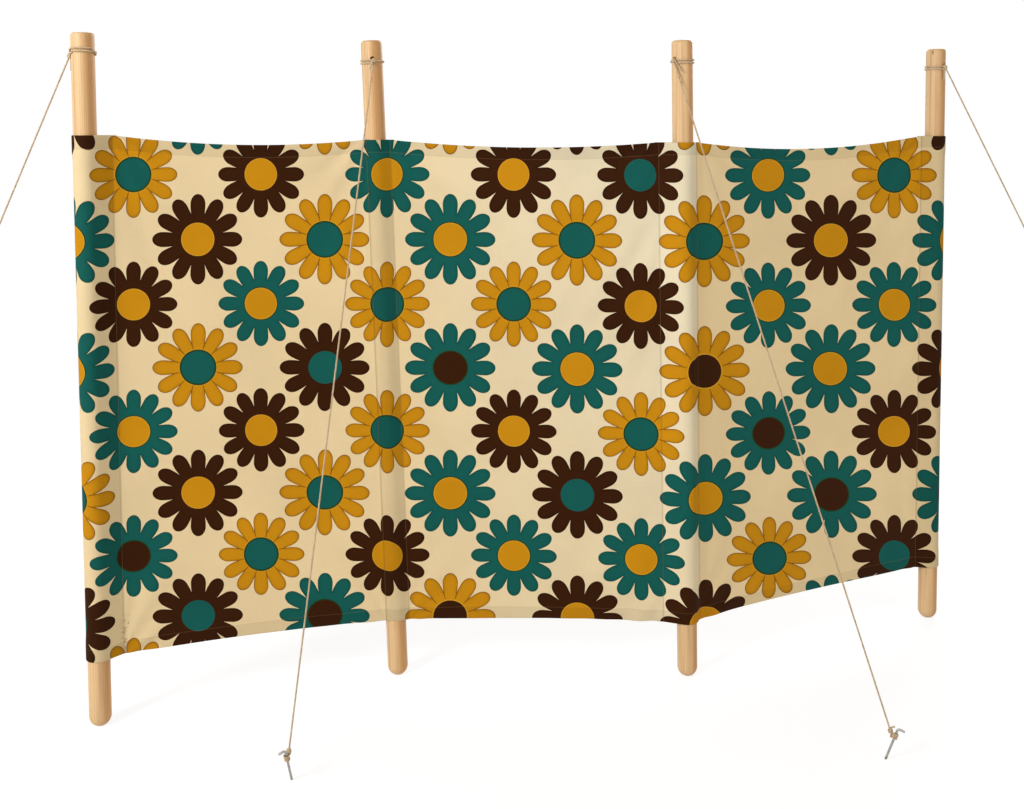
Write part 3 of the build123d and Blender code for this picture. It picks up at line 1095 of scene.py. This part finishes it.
# %% Directions of each guy
peg_reach = {1: 538 * mm, 2: 383 * mm, 3: 409 * mm, 4: 556 * mm}
peg_heading = {1: 174.7, 2: -110.7, 3: -45.8, 4: -10.3}
peg_slope = 18
peg_lean = math.radians(peg_slope)
wire_radius = 2 * mm
rope_on_peg = 33 * mm
eye_length = 21.3 * mm
turns_height = 45 * mm
turns_on_peg = 2.8
knot_half = 4.3 * mm
tag_length = 20 * mm
knot_wind = 2.9 * mm
tag_swing = {1: -25, 2: 28, 3: 18, 4: -25}
collar_lift = {1: 10 * mm, 2: 0.0, 3: 0.0, 4: 0.0}
collar_radius = pole_radius + 0.15 * mm + rope_radius


class Guy:
    """Where one guy runs, and the directions at its two ends."""

    def __init__(self, number):
        out = flat_way(knot_heading[number]) * (pole_radius + 5.4 * mm)
        self.top = pole_place(number) @ (out + up_by(collar_height))
        self.ground = feet[number] + flat_way(peg_heading[number]) * peg_reach[number]
        away = self.ground - self.top
        self.outward = Vector((away.x, away.y, 0)).normalized()
        self.heading = math.degrees(math.atan2(away.y, away.x))
        self.shaft = self.outward * math.sin(peg_lean) + up_by(math.cos(peg_lean))
        across = self.outward * math.cos(peg_lean) - up_by(math.sin(peg_lean))
        self.rope_point = self.ground + self.shaft * (rope_on_peg / math.cos(peg_lean))
        self.turns = self.ground + self.shaft * (turns_height / math.cos(peg_lean))
        seat = self.rope_point + across * (wire_radius + rope_radius + 0.2 * mm)
        self.up = (self.top - seat).normalized()
        self.side = self.up.cross(self.outward).normalized()
        self.rise = self.side.cross(self.up)
        self.barrel = seat + self.up * eye_length


guys = {number: Guy(number) for number in feet}
for number, guy in guys.items():
    print("guy", number, "is", round((guy.top - guy.barrel).length, 3), "m between its knots")


# %% Lines that the rope follows
def wind(centre, axis, start, radius, turns, rise, first=0.0):
    """Helix round an axis, beginning on the side that start points to."""
    across = (start - axis * start.dot(axis)).normalized()
    over = axis.cross(across)
    line = []
    for share in np.linspace(0, 1, max(int(abs(turns) * 18), 2) + 1):
        turn = math.tau * (turns * share + first)
        out = across * math.cos(turn) + over * math.sin(turn)
        line.append(centre + out * radius + axis * rise * (share - 0.5))
    return line


def round_pole(number, first, last, low, high):
    """Line round a pole between two headings, changing its height on the way."""
    line = []
    for share in np.linspace(0, 1, max(int(abs(last - first) / 8), 3) + 1):
        out = flat_way(first + (last - first) * share) * collar_radius
        line.append(pole_place(number) @ (out + up_by(low + (high - low) * share)))
    return line


def tail(start, along, aside, swing, length):
    """Short free end that swings aside and droops a little."""
    way = along * math.cos(math.radians(swing)) + aside * math.sin(math.radians(swing))
    droop = up_by(0.12 * length)
    return [start + way * length * share - droop * share * share for share in np.linspace(0, 1, 8)]


def hitch_line(number):
    """From the knot through the pole, round it, and back to the knot and its tail."""
    guy, stand, way = guys[number], pole_place(number), wrap_way[number]
    hole = flat_way(hole_heading[number])
    level = up_by(hole_height - 2.2 * mm)
    below, above = guy.up * (knot_half + 2.2 * mm), guy.up * (knot_half + 0.8 * mm)
    line = [guy.top - below, guy.top, guy.top + above]
    line += [stand @ (hole * (pole_radius + 1.0 * mm) + level + up_by(0.6 * mm))]
    far_side = hole_heading[number] + 180 + 2 * hole_slant[number]
    entry, leave = hole * pole_radius, flat_way(far_side) * pole_radius
    line += [stand @ (entry.lerp(leave, share) + level) for share in (0.1, 0.5, 0.9)]
    line += [stand @ (leave + (leave - entry).normalized() * 0.8 * mm + level)]
    begin = far_side + way * 12
    turn = (knot_heading[number] - begin) * way % 360 * way
    end = begin + turn
    upper = collar_height + 2.0 * mm + collar_lift[number]
    lower = collar_height - 3.0 * mm + collar_lift[number]
    for first, last, low, high in (
        (begin, begin + turn * 0.22, hole_height - 1.8 * mm, upper),
        (begin + turn * 0.22, begin + turn * 0.75, upper, upper),
        (begin + turn * 0.75, end, upper, collar_height + 1.4 * mm),
        (end + way * 8, end + way * 180, collar_height + 0.9 * mm, lower),
        (end + way * 180, end + way * 290, lower, lower),
        (end + way * 290, end + way * 348, lower, collar_height - 3.6 * mm),
    ):
        line += round_pole(number, first, last, low, high)
    line += wind(guy.top, guy.up, -guy.rise, knot_wind, 3 * way, 2 * knot_wind)
    sign = 1 if tag_swing[number] > 0 else -1
    start = guy.top + guy.rise * sign * 2.6 * mm - guy.up * 1.0 * mm
    return line + tail(start, -guy.up, guy.rise, tag_swing[number], tag_length)


def eye_line(number):
    """From the guy down through the knot, in turns up the peg, and to the knot again."""
    guy = guys[number]
    on_wire = wire_radius + rope_radius + 0.15 * mm
    rise = turns_on_peg * 2 * 1.62 * mm
    low, high = guy.turns - guy.shaft * rise / 2, guy.turns + guy.shaft * rise / 2
    line = [guy.barrel + guy.up * (knot_half + 2.2 * mm), guy.barrel]
    line += [guy.barrel - guy.up * knot_half]
    line += [high - guy.outward * 7.0 * mm - guy.side * 1.2 * mm]
    line += [low - guy.outward * 6.2 * mm - guy.side * 1.6 * mm + guy.shaft * 1.0 * mm]
    line += wind(guy.turns, guy.shaft, -guy.outward, on_wire, -turns_on_peg, rise, -0.06)
    line += [guy.barrel - guy.up * (knot_half + 0.6 * mm) + guy.side * 1.8 * mm]
    line += wind(guy.barrel, guy.up, guy.side, knot_wind, 3, 2 * knot_wind)
    start = guy.barrel + guy.side * 2.6 * mm + guy.up * 3.0 * mm
    return line + tail(start, guy.outward, guy.up, 35, 0.6 * tag_length)


# %% Make the ropes
for number, guy in guys.items():
    trim = guy.up * (knot_half + 0.2 * mm)
    turns = ease(even_points(hitch_line(number), 0.6 * mm)[0], 1.6)
    loop = ease(even_points(eye_line(number), 0.6 * mm)[0], 1.4)
    for part, line, step in (
        ("guy", [guy.top - trim, guy.barrel + trim], 1.3 * mm),
        ("hitch", turns, 0.9 * mm),
        ("eye", loop, 0.9 * mm),
    ):
        rope = lay_rope(f"{part}_rope_{number}", line, step)
        dress(rope, twine_finish, "rope", f"{part}_{number}")
        print(rope.name, len(rope.data.polygons), "faces")

# %% [markdown]
# ## Pegs
# A peg is galvanised wire with its top bent over into a short hook. It is made as one
# would bend it: a disc is drawn out into the shank, spun over for the hook, and drawn
# out again for the blunted tip. Then it is leaned away from its pole and cut at the
# ground.

# %% Wire finish
def make_wire():
    wire = Finish("galvanised wire")
    place = wire.node("TexCoord", out="Object")
    spangle = wire.node("TexVoronoi", {"feature": "F1"}, {"Vector": place, "Scale": 700.0}, out=0)
    dull = wire.scatter(place, 0.006, 3.0)
    dirt = (1 - wire.part(place, 2).rise(0.0, 12 * mm)) * dull.rise(0.35, 0.65)
    colour = wire.blend(spangle.rise(0.1, 0.9) * 0.5, paint(176, 174, 168), paint(132, 130, 126))
    colour = wire.blend(dull.rise(0.5, 0.8) * 0.35, colour, paint(112, 104, 94))
    colour = wire.blend(dirt * 0.7, colour, paint(92, 74, 54))
    return wire.finish(
        Base_Color=colour,
        Metallic=0.9 - dirt * 0.8,
        Roughness=0.36 + dull * 0.2,
        Normal=wire.raise_surface(dull, 0.0001, 0.5),
    )


# %% Bend and place the pegs
wire_finish = make_wire()
below_rope = 70 * mm
neck = 23 * mm
hook_radius = 4 * mm
hook_turn = 98
tip = 7.5 * mm
hook_swing = {1: 25, 2: -45, 3: 25, 4: -25}


def open_mesh():
    """Enter edit mode with all of the mesh selected."""
    bpy.ops.object.mode_set(mode="EDIT")
    bpy.ops.mesh.select_all(action="SELECT")


def bend_peg(number):
    """Upright wire peg whose neck ends at the origin, with its hook towards +X."""
    start_clean()
    circle = {"vertices": 16, "radius": wire_radius, "fill_type": "NGON"}
    bpy.ops.mesh.primitive_circle_add(**circle, location=(0, 0, -below_rope))
    peg = bpy.context.object
    peg.name = f"wire_peg_{number}"
    bpy.ops.object.transform_apply(location=True, rotation=True, scale=True)
    open_mesh()
    bpy.ops.mesh.extrude_region_move(TRANSFORM_OT_translate={"value": (0, 0, below_rope + neck)})
    turn = math.radians(hook_turn)
    bpy.ops.mesh.spin(steps=15, angle=-turn, center=(hook_radius, 0, neck), axis=(0, 1, 0))
    ahead = Vector((math.sin(turn), 0, math.cos(turn)))
    for step, size in ((tip - 1.6 * mm, 1.0), (0.8 * mm, 0.86), (0.5 * mm, 0.72), (0.3 * mm, 0.5)):
        bpy.ops.mesh.extrude_region_move(TRANSFORM_OT_translate={"value": ahead * step})
        bpy.ops.transform.resize(value=(size, size, size))
    close_mesh()
    return peg


def cut_at_ground(piece):
    take_up(piece)
    open_mesh()
    bpy.ops.mesh.bisect(plane_co=(0, 0, 0), plane_no=(0, 0, 1), use_fill=True, clear_inner=True)
    bpy.ops.object.mode_set(mode="OBJECT")


for number, guy in guys.items():
    peg = bend_peg(number)
    lean = turn_by(guy.heading) @ turn_by(peg_slope, "Y") @ turn_by(hook_swing[number])
    place_for_good(peg, Matrix.Translation(guy.rope_point) @ lean)
    cut_at_ground(peg)
    smooth(peg, 50)
    dress(peg, wire_finish, "peg_steel", f"peg_{number}")
    rise = max(vertex.co.z for vertex in peg.data.vertices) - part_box(f"peg_{number}")[1][2]
    print(peg.name, len(peg.data.polygons), "faces,", round(rise / mm, 1), "mm above its solid")

# %% [markdown]
# ## Studio
# The windbreak stands on a plain white floor. The floor gives the camera most of its
# white by itself and takes only a light shadow, and it fades into the white around it.
# A broad lamp from the front left models the folds, a weaker one from the right opens
# the shadows, and a third lights the back for views from behind.

# %% Floor and surroundings
def seen_rays(finish):
    """1 or more for a ray from the camera or one that metal or glass sends on."""
    rays = ("Is Camera Ray", "Is Glossy Ray", "Is Transmission Ray")
    camera_ray, glossy, passing = (finish.node("LightPath", out=ray) for ray in rays)
    return camera_ray + glossy + passing


def make_white_floor():
    floor = Finish("white floor")
    seen = maths("MINIMUM", seen_rays(floor), 1.0)
    place = floor.node("TexCoord", out="Object")
    distance = floor.node("VectorMath", {"operation": "LENGTH"}, {0: place}, out=1)
    matt = floor.node("BsdfDiffuse", {}, {0: (0.8, 0.8, 0.8)})
    soft = floor.node("BsdfDiffuse", {}, {0: (0.30, 0.30, 0.30)})
    glow = floor.node("Emission", {}, {0: (1.0, 1.0, 1.0), 1: 0.77})
    white = floor.node("Emission", {}, {0: (1.0, 1.0, 1.0), 1: 1.0})
    near = floor.node("AddShader", {}, {0: soft, 1: glow})
    look = floor.node("MixShader", {}, {0: distance.rise(1.7, 3.4), 1: near, 2: white})
    both = floor.node("MixShader", {}, {0: seen, 1: matt, 2: look})
    floor.node("OutputMaterial", {}, {0: both})
    return floor.owner


start_clean()
bpy.ops.mesh.primitive_plane_add(size=40, location=(0, 0, 0))
floor = bpy.context.object
floor.name = "white_floor"
floor.data.materials.append(make_white_floor())

surroundings = Finish("white surroundings", "worlds")
strength = surroundings.node("MapRange", {}, {0: seen_rays(surroundings), 3: 0.44, 4: 1.0})
background = surroundings.node("Background", {}, {0: (1, 1, 1), 1: strength})
surroundings.node("OutputWorld", {}, {0: background})
bpy.context.scene.world = surroundings.owner


# %% Lamps
middle = Vector((-0.25, 0.05, 0.6))
for name, place, size, power, colour in (
    ("key", (-3.0, -2.6, 2.4), 1.2, 112, (1.0, 0.98, 0.95)),
    ("fill", (2.8, -3.0, 1.8), 2.0, 35, (1.0, 0.955, 0.88)),
    ("back", (1.4, 3.2, 2.4), 2.0, 80, (1.0, 0.98, 0.95)),
):
    glow = bpy.data.lights.new(name, "AREA")
    glow.size, glow.energy, glow.color = size, power, colour
    lamp = add_object(name, glow)
    lamp.location = place
    lamp.rotation_euler = (middle - Vector(place)).to_track_quat("-Z", "Y").to_euler()
    lamp.visible_camera = False
print("three lamps hang round", tuple(middle))
